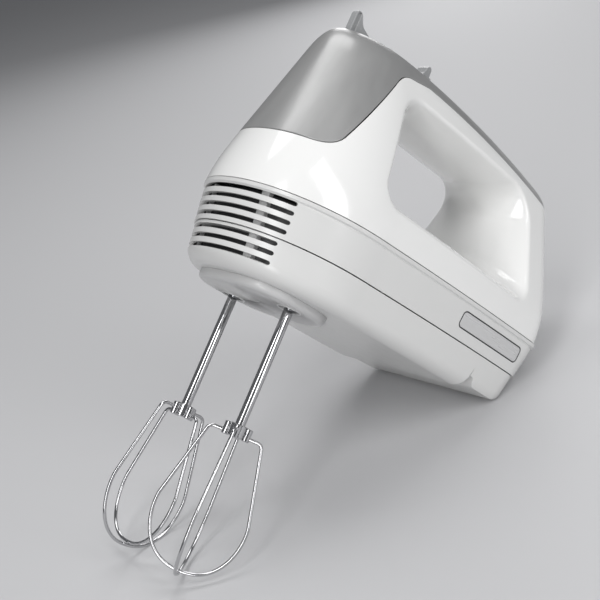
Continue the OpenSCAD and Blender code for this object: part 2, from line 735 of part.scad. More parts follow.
// Helical gear, cut to run with the worm.
module spindle_gear(side) {
    pr = spindle_y - worm_r;
    helix = asin(worm_lead / sqrt(pow(worm_lead, 2) + pow(2 * PI * worm_r, 2)));
    turn = gear_h * tan(helix) / pr * 180 / PI;
    radii = [pr - tooth_ded, pr + tooth_add, pr + tooth_add, pr - tooth_ded];
    // The middle of a gap faces the worm's thread at mid height.
    phase = side > 0 ? -90 : 90;
    color(nylon) at_spindle(side, gear_z - gear_h / 2) difference() {
        linear_extrude(height = gear_h, twist = -turn, slices = 4)
            rotate([0, 0, phase - turn / 2]) polygon([
                for (t = [0 : gear_teeth - 1], k = [0 : 3])
                    let (
                        h = radii[k] - pr,
                        w = tooth_half(tooth_share, h) * (k < 2 ? -1 : 1),
                        f = 360 * (t + 0.5 + w) / gear_teeth)
                    radii[k] * [cos(f), sin(f)]]);
        translate([0, 0, -1]) cylinder(r = 4.5 + seat, h = gear_h + 2, $fn = 48);
    }
}

module retaining_clip(side) {
    color(steel) at_spindle(side, 44.8) difference() {
        tube(7, 3.95, 0.9);
        translate([2, -2.6, -1]) cube([8, 5.2, 4]);
    }
}

// ---- beaters ---------------------------------------------------------------------------------

// Shaft with the two drive lugs that engage the slot at the foot of the spindle.
module beater_shaft(side) {
    color(steel) at_spindle(side) {
        translate([0, 0, collar_z - 3]) cylinder(r = shaft_d / 2, h = 44 - collar_z + 3 - 1, $fn = 48);
        translate([0, 0, 43 - eps]) cylinder(r1 = shaft_d / 2, r2 = shaft_d / 2 - 1, h = 1 + eps, $fn = 48);
        centred_box([8.6, 1.5, 5.6], [0, 0, 5]);
    }
}

// Hub that grips the wires: a sleeve with four lugs and a cap under it.
module collar(side) {
    color(steel) at_spindle(side, collar_z) rotate([0, 0, beater_turn[side > 0 ? 1 : 0]]) difference() {
        union() {
            translate([0, 0, -3.6]) cylinder(r = 4.3, h = 6, $fn = 48);
            for (a = [0, 90, 180, 270]) rotate([0, 0, a]) translate([5, 0, -3.9])
                cylinder(r = 1.9, h = 6.2, $fn = 32);
        }
        translate([0, 0, -3]) cylinder(r = shaft_d / 2, h = 10, $fn = 48);
        for (a = [0, 90]) rotate([0, 0, a]) translate([0, 0, a > 0 ? -2.05 : -0.1])
            rotate([0, 90, 0]) translate([0, 0, -10]) cylinder(r = wire_d / 2 + 0.03, h = 20, $fn = 32);
    }
}

// Half of a wire loop in its own plane as [radius, z]: out of the hub, over the shoulder, down
// the leg and round the belly to the tip. lift raises the tip, so that two loops can cross.
function leg(lift, arm) =
    let (
        shoulder = [for (i = [0 : 4]) let (f = 90 - 68 * i / 4) [10.6 + 3.2 * cos(f), arm - 3.2 + 3.2 * sin(f)]],
        tip = -tip_drop + wire_d / 2 + lift,
        belly_z = -104,
        belly = [for (i = [0 : 9]) let (f = 12 - 102 * i / 9)
            [cage_r * pow(max(0, cos(f)), 0.86), f > 0 ? belly_z + 20 * sin(f)
             : belly_z + (belly_z - tip) * sin(f)]])
    concat([[4.2, arm]], shoulder, belly);

// Sweeps a round wire along points [r, z] that are mirrored to make the whole loop.
module wire_loop(lift, arm) {
    half = leg(lift, arm);
    n = len(half);
    path = concat(half, [for (i = [n - 2 : -1 : 0]) [-half[i][0], half[i][1]]]);
    m = len(path);
    sides = 8;
    dir = [for (i = [0 : m - 1])
        let (d = path[min(m - 1, i + 1)] - path[max(0, i - 1)]) d / norm(d)];
    rings = [for (i = [0 : m - 1])
        [for (k = [0 : sides - 1])
            let (f = 360 * k / sides, a = wire_d / 2 * cos(f), b = wire_d / 2 * sin(f))
            [path[i][0] - dir[i][1] * a, b, path[i][1] + dir[i][0] * a]]];
    skin_loop(rings);
}

// One of the two crossing loops of a beater.
module beater_wire(side, which) {
    turn = beater_turn[side > 0 ? 1 : 0] + (which == "a" ? 0 : 90);
    color(steel) at_spindle(side) rotate([0, 0, turn])
        wire_loop(which == "a" ? 0 : wire_d + 0.15, collar_z + (which == "a" ? -0.1 : -2.05));
}

// ---- beater release --------------------------------------------------------------------------

lever_x = -8.6;
fin_base = crown(lever_x) - 4;

// Finger fin on top of the nose, its stem, and the flange that the spring pushes on.
module eject_lever() {
    color(pale_grey) {
        translate([lever_x, 0, 0]) {
            translate([0, 1.9, 0]) rotate([90, 0, 0]) linear_extrude(height = 3.8) polygon([
                [-9.2, fin_base - 5], [-9.2, 149.5], [-8.6, 151], [-7.4, 151.6], [-6, 151.2],
                [-4.6, 149.4], [-3, 146.8], [0, 145], [4, 143.9], [7, 142.6], [8.6, 140.8],
                [9.2, fin_base], [9.2, fin_base - 5]]);
            translate([0, 0, 79]) cylinder(r = 2.2, h = fin_base - 5 - 79 + eps, $fn = 32);
            translate([0, 0, 102]) cylinder(r = 6.5, h = 1.6, $fn = 48);
            centred_box([12, 9, 1.6], [0, 0, fin_base - 1.6]);
        }
    }
}

// Fork that carries the push from the lever's stem to a pin above each beater.
module eject_yoke() {
    color(iron) union() {
        translate([lever_x, 0, 65]) cylinder(r = 2.2, h = 14, $fn = 32);
        translate([lever_x - 2.6, -4, 65]) cube([5.2, 8, 3.4]);
        translate([lever_x, -3, 65]) cube([8.6 + 3, 6, 3.4]);
        translate([-3, -26, 65]) cube([6, 52, 3.4]);
        for (s = [-1, 1]) at_spindle(s, 44.6) cylinder(r = 2.2, h = 20.5, $fn = 32);
    }
}

// Return spring between the guide of the gear frame and the lever's flange.
module eject_spring() {
    turns = 6;
    per_turn = 10;
    z0 = 78.5;
    z1 = 101.5;
    n = turns * per_turn;
    rings = [for (i = [0 : n])
        let (f = 360 * i / per_turn, z = z0 + (z1 - z0) * i / n)
        [for (k = [0 : 5])
            let (g = 60 * k, r = 4.6 + 0.45 * cos(g))
            [lever_x + r * cos(f), r * sin(f), z + 0.45 * sin(g)]]];
    color(steel) skin_loop(rings);
}

// ---- speed control ---------------------------------------------------------------------------

slider_x = 35;

// Low wedge that the thumb pushes forward, with a stem through the slot in the cover.
module speed_slider() {
    top = crown(slider_x);
    color(pale_grey) translate([slider_x, 0, 0]) {
        translate([0, 5.5, 0]) rotate([90, 0, 0]) linear_extrude(height = 11) polygon([
            [-6, top + 0.3], [-5.6, top + 0.9], [0, top + 3], [2.2, top + 5.4], [3, top + 8.6],
            [3.8, top + 9.4], [5, top + 9.4], [5.8, top + 8.6], [6.2, top + 5], [6.2, top + 1.2],
            [6, top + 0.3]]);
        centred_box([6, 2.6, 14], [0, 0, top - 6.5]);
    }
}

module slider_contact() {
    color(copper) centred_box([8, 6, 4.8], [slider_x, 0, crown(slider_x) - 15.9]);
}

switch_z = crown_h - 24.5;
module speed_switch() {
    color(dark) difference() {
        union() {
            centred_box([46, 15, 7], [slider_x - 10, 0, switch_z + 3.5]);
            centred_box([10, 7, 2.6], [slider_x + 6, 0, switch_z - 0.25]);
        }
        centred_box([40, 9, 4], [slider_x - 10, 0, switch_z + 7]);
    }
}

// Row of fixed contacts, one for each speed.
module switch_contacts() {
    color(brass) for (i = [0 : 5])
        centred_box([2.4, 7, 0.8], [slider_x - slider_travel * i / 5, 0, switch_z + 5.4]);
}

stand() upper_shell();
stand() top_cover();
stand() mid_band();
stand() base_shell();
stand() spindle_plate();
stand() vent_baffle();
stand() side_badge();
stand() cord_gland();
stand() housing_screws();
stand() gear_frame();
stand() bushing(-1);  // left_bushing
stand() bushing(1);  // right_bushing
stand() front_bearing();
stand() motor_bracket();
stand() rear_bearing();
stand() motor_bolts();
stand() motor_stator();
stand() field_coils();
stand() brush_holders();
stand() carbon_brushes();
stand() brush_springs();
stand() speed_switch();
stand() switch_contacts();
stand() armature_shaft();
stand() worm();
stand() armature_core();
stand() armature_windings();
stand() commutator();
stand() cooling_fan();
stand() spindle(-1);  // left_spindle
stand() spindle(1);  // right_spindle
stand() spindle_gear(-1);  // left_gear
stand() spindle_gear(1);  // right_gear
stand() retaining_clip(-1);  // left_clip
stand() retaining_clip(1);  // right_clip
stand() beater_shaft(-1);  // left_beater_shaft
stand() beater_shaft(1);  // right_beater_shaft
stand() collar(-1);  // left_collar
stand() collar(1);  // right_collar
stand() beater_wire(-1, "a");  // left_wire_a
stand() beater_wire(-1, "b");  // left_wire_b
stand() beater_wire(1, "a");  // right_wire_a
stand() beater_wire(1, "b");  // right_wire_b
stand() eject_lever();
stand() eject_yoke();
stand() eject_spring();
stand() speed_slider();
stand() slider_contact();
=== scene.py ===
"""Looks of a hand mixer that rests on its two beaters and the heel of its base.

Shapes are written in the mixer's own frame, in millimetres: x to the rear wall, y to the user's
right, z up along the beater axes, with the origin on the underside of the spindle plate. row()
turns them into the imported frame, in metres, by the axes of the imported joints.
"""
import json
import math

import bmesh
import bpy
import numpy as np
from mathutils import Matrix, Vector
from mathutils.geometry import delaunay_2d_cdt


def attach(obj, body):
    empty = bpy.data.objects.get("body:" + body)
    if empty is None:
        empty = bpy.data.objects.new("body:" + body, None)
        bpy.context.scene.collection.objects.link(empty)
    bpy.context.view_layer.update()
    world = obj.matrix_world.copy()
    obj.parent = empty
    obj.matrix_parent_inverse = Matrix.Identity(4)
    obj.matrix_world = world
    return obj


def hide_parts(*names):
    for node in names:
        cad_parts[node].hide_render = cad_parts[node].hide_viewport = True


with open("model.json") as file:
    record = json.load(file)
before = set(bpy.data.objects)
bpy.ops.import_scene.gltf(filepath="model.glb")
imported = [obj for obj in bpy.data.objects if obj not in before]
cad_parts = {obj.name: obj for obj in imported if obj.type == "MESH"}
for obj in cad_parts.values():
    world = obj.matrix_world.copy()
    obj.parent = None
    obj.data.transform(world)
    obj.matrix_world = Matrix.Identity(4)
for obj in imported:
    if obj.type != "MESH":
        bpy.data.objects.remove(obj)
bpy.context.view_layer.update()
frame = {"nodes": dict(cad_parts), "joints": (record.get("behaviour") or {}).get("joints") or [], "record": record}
joints = {j["name"]: j for j in frame["joints"]}

# ---- frame -----------------------------------------------------------------------------------

AXIS_X = np.array(joints["armature_spin"]["axis"])
AXIS_Z = np.array(joints["left_spin"]["axis"])
AXIS_Y = np.array([0.0, 1.0, 0.0])
MOTOR_Z = 40.0
ORIGIN = np.array(joints["armature_spin"]["pos_m"]) - 0.001 * MOTOR_Z * AXIS_Z


def row(p):
    """Points in the mixer's frame in mm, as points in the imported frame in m."""
    p = np.asarray(p, float)
    return ORIGIN + 0.001 * (p[..., :1] * AXIS_X + p[..., 1:2] * AXIS_Y + p[..., 2:3] * AXIS_Z)


# ---- casing surface --------------------------------------------------------------------------

SEAM_LO, SEAM_HI = 23.6, 44.3
CROWN_H, CROWN_R, REAR_L, REAR_R = 143.5, 16.0, 149.0, 14.0
CROWN_X = 22.0
SHARE_H = CROWN_H - SEAM_HI
SHOULDER = CROWN_H - CROWN_R
NOSE_X = 15.0
PLAN_EXP = 2.15
GAP = 0.24
ROUND_R, ROUND_Z = 7.5, 12.0
BAND_Z = 34.0
SPINDLE_Y = 22.0


def crown(x):
    """Height of the top line at x: highest at CROWN_X, and steeper in front of it."""
    return CROWN_H - np.where(x > CROWN_X, 0.00072, 0.0022) * (x - CROWN_X) ** 2


def bow(x):
    """Share of the full half width that the bowed flank has at x."""
    return 1 - 0.04 * ((np.maximum(x, NOSE_X) - 70) / 70) ** 2


def ramp(u, k):
    """0 for low u and u for high u, blended over about k."""
    return (u + np.sqrt(u * u + k * k)) / 2


def half_w(z):
    """Half width of the flanks at height z."""
    return np.where(z < SEAM_HI, 54.5 - 0.12 * (SEAM_HI - z), 55.07 - 0.40 * ramp(z - 60, 10))


def nose(z):
    """Reach of the nose in front of the origin at height z."""
    return np.where(z < SEAM_HI, 47 - 0.13 * (SEAM_HI - z), 47.85 - 0.23 * ramp(z - 50, 12))


def nose_mid(z):
    """Where the nose's curve meets the flank at height z."""
    return NOSE_X - 0.09 * np.maximum(0, z - SEAM_HI)


def plan(c, a, mid, w, rear):
    """Half of a plan outline. c runs 0 to 1 round the nose, 1 to 2 along the flank, 2 to 3 round
    the rear corner and 3 to 4 along the rear wall to the middle."""
    rr = np.minimum(REAR_R, 0.8 * w)
    flat = rear - rr
    f = np.clip(c, 0, 1) * math.pi / 2
    x0 = mid - (a + mid) * np.maximum(np.cos(f), 0) ** (2 / PLAN_EXP)
    y0 = w * bow(NOSE_X) * np.sin(f) ** (2 / PLAN_EXP)
    x1 = mid + (flat - mid) * np.clip(c - 1, 0, 1)
    g = np.clip(c - 2, 0, 1) * math.pi / 2
    yc = w * bow(flat) - rr
    x = np.where(c < 1, x0, np.where(c < 2, x1, np.where(c < 3, flat + rr * np.sin(g), rear)))
    y = np.where(c < 1, y0, np.where(c < 2, w * bow(x1), np.where(
        c < 3, yc + rr * np.cos(g), yc * (1 - np.clip(c - 3, 0, 1)))))
    return x, y


def crown_share(zn):
    """How far the crown rounds the sides in, and how far it pulls in nose and rear."""
    u = np.clip((zn - SHOULDER) / CROWN_R, 0, 1)
    return (1 - u ** 2.5) ** 0.4, 12 * (1 - (1 - u ** 4) ** 0.25)


def upper(c, zn):
    """Point of the upper casing on column c at nominal height zn."""
    side, pull = crown_share(zn)
    x, y = plan(c, nose(zn) - pull, nose_mid(zn), half_w(zn) * side, REAR_L - pull)
    z = SEAM_HI + (crown(x) - SEAM_HI) * (zn - SEAM_HI) / SHARE_H
    return np.stack(np.broadcast_arrays(x, y, z), -1)


def flank_y(x, z):
    """Half width of the upper casing at the point (x, z) of its side view."""
    zn = SEAM_HI + SHARE_H * (z - SEAM_HI) / (crown(x) - SEAM_HI)
    side, pull = crown_share(zn)
    w, a, mid, rear = half_w(zn) * side, nose(zn) - pull, nose_mid(zn), REAR_L - pull
    rr = np.minimum(REAR_R, 0.8 * w)
    flat = rear - rr
    reach = np.clip((mid - x) / (a + mid), 0, 1)
    front = w * bow(NOSE_X) * (1 - reach ** PLAN_EXP) ** (1 / PLAN_EXP)
    back = w * bow(flat) - rr + np.sqrt(np.maximum(rr ** 2 - (x - flat) ** 2, 0))
    return np.where(x < mid, front, np.where(x > flat, back, w * bow(x)))


def lower(c, z, d=0.0):
    """Point of the band or the base on column c at height z, drawn inwards by d."""
    e = np.where(z > ROUND_Z, 0, ROUND_R - np.sqrt(np.maximum(0, ROUND_R ** 2 - (ROUND_Z - z) ** 2)))
    rear = REAR_L + 1.3 - 0.2 * (SEAM_HI - z)
    x, y = plan(c, nose(z) - e - d, NOSE_X, half_w(z) - e - d, rear - e / 3 - d)
    return np.stack(np.broadcast_arrays(x, y, z), -1)


def even(values, points, n):
    """n + 1 of the values, evenly spaced along the polyline of their points."""
    s = np.r_[0, np.cumsum(np.linalg.norm(np.diff(points, axis=0), axis=1))]
    return np.interp(np.linspace(0, s[-1], n + 1), s, values)


# ---- mesh tools ------------------------------------------------------------------------------

WELD, SLIVER = 2e-5, 1e-6


class Skin:
    """Collects grids of points, in the mixer's frame, and welds them into one mesh."""

    def __init__(self):
        self.points, self.faces, self.count = [], [], 0

    def add(self, points, faces):
        """Points, and faces that count from the first of them."""
        self.points.append(np.asarray(points, float).reshape(-1, 3))
        self.faces += [[i + self.count for i in f] for f in faces]
        self.count += len(self.points[-1])

    def grid(self, p, drop=None):
        """Rows by columns of points, joined by four-sided faces, without the cells in drop."""
        m, n = p.shape[:2]
        i, j = np.meshgrid(np.arange(m - 1), np.arange(n - 1), indexing="ij")
        q = np.stack([i * n + j, i * n + j + 1, (i + 1) * n + j + 1, (i + 1) * n + j], -1)
        q = q.reshape(-1, 4) if drop is None else q[~drop]
        self.add(p, q.tolist())

    def mirror(self):
        """Adds the other side, mirrored in y."""
        p = np.concatenate(self.points) * [1, -1, 1]
        faces = [f[::-1] for f in self.faces]
        self.add(p, faces)

    def build(self, name):
        """The welded mesh as a named object, with its normals outwards."""
        me = bpy.data.meshes.new(name)
        me.from_pydata(row(np.concatenate(self.points)).tolist(), [], self.faces)
        bm = bmesh.new()
        bm.from_mesh(me)
        bmesh.ops.remove_doubles(bm, verts=bm.verts, dist=WELD)
        bmesh.ops.dissolve_degenerate(bm, edges=bm.edges, dist=SLIVER)
        loose = [v for v in bm.verts if not v.link_faces]
        bmesh.ops.delete(bm, geom=loose, context="VERTS")
        bmesh.ops.recalc_face_normals(bm, faces=bm.faces)
        far = max(bm.faces, key=lambda f: f.calc_center_median().y)
        if far.normal.y < 0:
            bmesh.ops.reverse_faces(bm, faces=bm.faces)
        bm.to_mesh(me)
        bm.free()
        me.polygons.foreach_set("use_smooth", [True] * len(me.polygons))
        ob = bpy.data.objects.new(name, me)
        bpy.context.scene.collection.objects.link(ob)
        return ob


def thicken(ob, mm):
    """Gives an open skin a wall, inwards from its face."""
    mod = ob.modifiers.new("wall", "SOLIDIFY")
    mod.thickness, mod.offset = 0.001 * mm, -1


def soften(ob, mm, segments=2, angle=50):
    """Rounds the edges that are sharper than the angle."""
    mod = ob.modifiers.new("edge", "BEVEL")
    mod.width, mod.segments = 0.001 * mm, segments
    mod.limit_method, mod.angle_limit = "ANGLE", math.radians(angle)
    mod.harden_normals = True


def apply_all(ob):
    """Turns the object's modifiers into its mesh."""
    dg = bpy.context.evaluated_depsgraph_get()
    me = bpy.data.meshes.new_from_object(ob.evaluated_get(dg))
    ob.modifiers.clear()
    ob.data = me


def cut(ob, tools):
    """Cuts closed shapes out of a closed piece."""
    for skin in tools:
        tool = skin.build("cutter")
        mod = ob.modifiers.new("slot", "BOOLEAN")
        mod.operation, mod.solver, mod.object = "DIFFERENCE", "EXACT", tool
        apply_all(ob)
        bpy.data.objects.remove(tool)


def box(lo, hi):
    """Closed block between two corners."""
    s = Skin()
    s.add([(x, y, z) for x in (lo[0], hi[0]) for y in (lo[1], hi[1]) for z in (lo[2], hi[2])],
          [[0, 1, 3, 2], [4, 6, 7, 5], [0, 4, 5, 1], [2, 3, 7, 6], [0, 2, 6, 4], [1, 5, 7, 3]])
    return s


def rod(start, axis, length, r, n=40):
    """Closed cylinder along x or z (axis 0 or 2)."""
    f = np.linspace(0, 2 * math.pi, n + 1)[:-1]
    ring = np.zeros((n, 3))
    ring[:, (axis + 1) % 3], ring[:, (axis + 2) % 3] = r * np.cos(f), r * np.sin(f)
    end = np.zeros(3)
    end[axis] = length
    s = Skin()
    s.add(np.concatenate([ring, ring + end]) + start,
          [list(range(n)), [2 * n - 1 - i for i in range(n)]]
          + [[i, i + n, (i + 1) % n + n, (i + 1) % n] for i in range(n)])
    return s


def sharpen(ob, angle=35):
    """Keeps edges sharper than the angle crisp under smooth shading."""
    bm = bmesh.new()
    bm.from_mesh(ob.data)
    for e in bm.edges:
        e.smooth = len(e.link_faces) == 2 and e.calc_face_angle(0) < math.radians(angle)
    bm.to_mesh(ob.data)
    bm.free()


def lathe(s, profile, at, n=64):
    """Turned shape: profile is [radius, z] pairs about a vertical axis through at."""
    f = np.linspace(0, 2 * math.pi, n + 1)
    r, z = np.array(profile, float).T
    p = np.stack([at[0] + r[:, None] * np.cos(f), at[1] + r[:, None] * np.sin(f),
                  at[2] + np.repeat(z[:, None], n + 1, 1)], -1)
    s.grid(p)


def slab(s, outline, y0, y1):
    """Plate cut from a side view outline, between two values of y."""
    n = len(outline)
    p = [(x, y, z) for y in (y0, y1) for x, z in outline]
    s.add(p, [list(range(n)), [2 * n - 1 - i for i in range(n)]]
          + [[i, i + n, (i + 1) % n + n, (i + 1) % n] for i in range(n)])


def sweep(s, path, radius, sides=14):
    """Round wire along a path of points, closed at both ends."""
    path = np.asarray(path, float)
    d = np.gradient(path, axis=0)
    d /= np.linalg.norm(d, axis=1)[:, None]
    normal = np.cross(d, np.cross(path[-1] - path[0], path[len(path) // 2] - path[0]))
    normal /= np.linalg.norm(normal, axis=1)[:, None]
    other = np.cross(d, normal)
    f = np.linspace(0, 2 * math.pi, sides + 1)
    ring = normal[:, None] * np.cos(f)[:, None] + other[:, None] * np.sin(f)[:, None]
    s.grid(path[:, None] + radius * ring)
    for end in (0, -1):
        s.add(path[end] + radius * ring[end][:-1], [list(range(sides))])


# ---- materials -------------------------------------------------------------------------------


def finish_of(name, base, rough, metal=0.0, coat=0.0, grain=900.0, bump=0.04, vary=0.05,
              stretch=(1, 1, 1), drift=18.0, along=None, rough_vary=0.25):
    """Procedural finish: fine grain in the relief, uneven gloss, and a slow drift of the colour.
    stretch scales the noise on each axis, after a turn about y by the angle along."""
    m = bpy.data.materials.new(name)
    m.use_nodes = True
    nt = m.node_tree
    b = nt.nodes["Principled BSDF"]
    b.inputs["Metallic"].default_value = metal
    b.inputs["Coat Weight"].default_value = coat
    b.inputs["Coat Roughness"].default_value = 0.06
    coord = nt.nodes.new("ShaderNodeTexCoord")
    source = coord.outputs["Object"]
    if along is not None:
        turn = nt.nodes.new("ShaderNodeMapping")
        turn.vector_type = "POINT"
        turn.inputs["Rotation"].default_value = (0, along, 0)
        nt.links.new(source, turn.inputs["Vector"])
        source = turn.outputs["Vector"]
    mp = nt.nodes.new("ShaderNodeMapping")
    mp.inputs["Scale"].default_value = stretch
    nt.links.new(source, mp.inputs["Vector"])

    def noise(scale, detail, vector):
        n = nt.nodes.new("ShaderNodeTexNoise")
        n.inputs["Scale"].default_value = scale
        n.inputs["Detail"].default_value = detail
        nt.links.new(vector, n.inputs["Vector"])
        return n.outputs["Fac"]

    fine = noise(grain, 3, mp.outputs["Vector"])
    slow = noise(drift, 2, mp.outputs["Vector"])
    wear = noise(grain / 6, 4, mp.outputs["Vector"])
    relief = nt.nodes.new("ShaderNodeBump")
    relief.inputs["Strength"].default_value = bump
    relief.inputs["Distance"].default_value = 0.0004
    nt.links.new(fine, relief.inputs["Height"])
    nt.links.new(relief.outputs["Normal"], b.inputs["Normal"])
    gloss = nt.nodes.new("ShaderNodeMapRange")
    gloss.inputs["From Min"].default_value, gloss.inputs["From Max"].default_value = 0.3, 0.7
    gloss.inputs["To Min"].default_value = rough * (1 - rough_vary)
    gloss.inputs["To Max"].default_value = rough * (1 + rough_vary)
    nt.links.new(wear, gloss.inputs["Value"])
    nt.links.new(gloss.outputs["Result"], b.inputs["Roughness"])
    tint = nt.nodes.new("ShaderNodeMix")
    tint.data_type = "RGBA"
    tint.inputs["A"].default_value = (*[v * (1 - vary) for v in base], 1)
    tint.inputs["B"].default_value = (*[min(1, v * (1 + vary / 3)) for v in base], 1)
    nt.links.new(slow, tint.inputs["Factor"])
    nt.links.new(tint.outputs["Result"], b.inputs["Base Color"])
    return m


TILT = math.atan2(-AXIS_X[2], AXIS_X[0])
M = {
    "white_gloss": finish_of("white_gloss", (0.84, 0.84, 0.83), 0.13, coat=0.3, grain=260, bump=0.006,
                             vary=0.02, rough_vary=0.12),
    "grey_satin": finish_of("grey_satin", (0.68, 0.68, 0.672), 0.25, grain=1500, bump=0.004, vary=0.03,
                            rough_vary=0.06),
    "silver_satin": finish_of("silver_satin", (0.36, 0.36, 0.358), 0.33, metal=0.3, grain=900, bump=0.015,
                              vary=0.14, coat=0.1, stretch=(1, 1, 0.05), along=-TILT, drift=130,
                              rough_vary=0.12),
    "pale_grey": finish_of("pale_grey", (0.56, 0.56, 0.56), 0.32, grain=1500, bump=0.008, rough_vary=0.08),
    "control_grey": finish_of("control_grey", (0.33, 0.335, 0.34), 0.26, grain=2600, bump=0.02,
                              rough_vary=0.08),
    "badge_silver": finish_of("badge_silver", (0.62, 0.62, 0.62), 0.28, metal=0.2, grain=1500,
                              bump=0.02, stretch=(0.05, 1, 1), along=-TILT),
    "rubber_dark": finish_of("rubber_dark", (0.03, 0.03, 0.032), 0.6, grain=1800, bump=0.2),
    "dark_plastic": finish_of("dark_plastic", (0.03, 0.03, 0.032), 0.45, grain=1600, bump=0.15),
    "chrome": finish_of("chrome", (0.56, 0.56, 0.57), 0.10, metal=1.0, grain=1800, bump=0.02, vary=0.03,
                        stretch=(1, 1, 0.04), along=-TILT, rough_vary=0.3),
    "steel": finish_of("steel", (0.52, 0.53, 0.54), 0.28, metal=1.0, grain=1500, bump=0.08),
    "cast_alloy": finish_of("cast_alloy", (0.42, 0.43, 0.44), 0.5, metal=0.9, grain=900, bump=0.35),
    "brass": finish_of("brass", (0.66, 0.48, 0.2), 0.3, metal=1.0, grain=1300, bump=0.1),
    "lamination": finish_of("lamination", (0.2, 0.2, 0.21), 0.45, metal=0.8, grain=900, bump=0.4,
                            stretch=(3, 0.02, 0.02), along=-TILT),
    "copper": finish_of("copper", (0.6, 0.27, 0.12), 0.3, metal=0.8, grain=1100, bump=0.5,
                        stretch=(2.5, 0.1, 0.1), along=-TILT),
    "carbon": finish_of("carbon", (0.03, 0.03, 0.03), 0.55, grain=1500, bump=0.3),
    "nylon": finish_of("nylon", (0.74, 0.71, 0.6), 0.42, grain=1200, bump=0.1),
}


def dress(ob, slot):
    ob.data.materials.clear()
    ob.data.materials.append(M[slot])


def place(ob, body, slot, *nodes):
    """The finished piece rides on a body, takes a slot's finish, and stands for CAD nodes."""
    dress(ob, slot)
    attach(ob, body)
    if nodes:
        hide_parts(*nodes)
    return ob


for part in frame["record"]["subparts"]:
    node = frame["nodes"][part["node"]]
    for spot in node.material_slots:
        spot.material = M[part["material_slot"]]

# ---- parting line ----------------------------------------------------------------------------


def arc(cx, cz, r, f0, f1):
    """Points of a side view arc between two angles in degrees."""
    f = np.radians(np.linspace(f0, f1, 24))
    return np.stack([cx + r * np.cos(f), cz + r * np.sin(f)], -1)


COVER_LOW, COVER_DROP = 72.7, 11.6
along_top = np.linspace(25, 160, 68)
edge_line = np.concatenate([
    np.stack([np.linspace(-70, -34, 10), np.full(10, COVER_LOW)], -1),
    arc(-33.5, COVER_LOW + 14, 14, -90, -27), arc(12.6, 117.3, 12, 153, 93),
    np.stack([along_top, crown(along_top) - COVER_DROP], -1)])


def edge_height(offset):
    """The parting line moved sideways by an offset, as a function from x to z."""
    t = np.gradient(edge_line, axis=0)
    t /= np.linalg.norm(t, axis=1)[:, None]
    e = edge_line + offset * np.stack([-t[:, 1], t[:, 0]], -1)
    return lambda x: np.interp(x, e[:, 0], e[:, 1])


def meet(c, edge):
    """Nominal height at which each column meets the edge."""
    lo, hi = np.full(c.shape, 50.0), np.full(c.shape, CROWN_H - 0.2)
    for _ in range(40):
        mid = (lo + hi) / 2
        p = upper(c, mid)
        above = p[..., 2] > edge(p[..., 0])
        lo, hi = np.where(above, lo, mid), np.where(above, mid, hi)
    return (lo + hi) / 2


# ---- upper shell -----------------------------------------------------------------------------

RIM = np.array([[14, 71.5, 10.5], [113, 69, 9.5], [104.5, 103.5, 17.5], [22, 108, 13.5]])
MID = np.array([[21, 81, 11], [100, 81, 11], [99, 102, 13], [32, 104, 11]])
RIM_OUT, RIM_IN = 1.7, 2.2


def rim_point(tau, s, d):
    """Point of the opening's outline. tau counts corners; half of each unit is the corner's arc
    and half the straight run to the next. s is 0 at the centre and 1 at the rim."""
    tau = np.mod(tau, 4)
    e = np.minimum(1, np.abs(s)) ** 2.2
    k = np.floor(tau).astype(int) % 4
    f = tau - np.floor(tau)

    def on_arc(corner, share):
        q = MID[corner] + (RIM - MID)[corner] * e[..., None]
        a = np.radians(180 + 90 * corner + 90 * share)
        r = q[..., 2] + d
        return np.stack([q[..., 0] + r * np.cos(a), q[..., 1] + r * np.sin(a)], -1)

    start = on_arc(k, np.minimum(f * 2, 1))
    nxt = on_arc((k + 1) % 4, np.zeros_like(f))
    w = np.clip(f * 2 - 1, 0, 1)[..., None]
    return start * (1 - w) + nxt * w


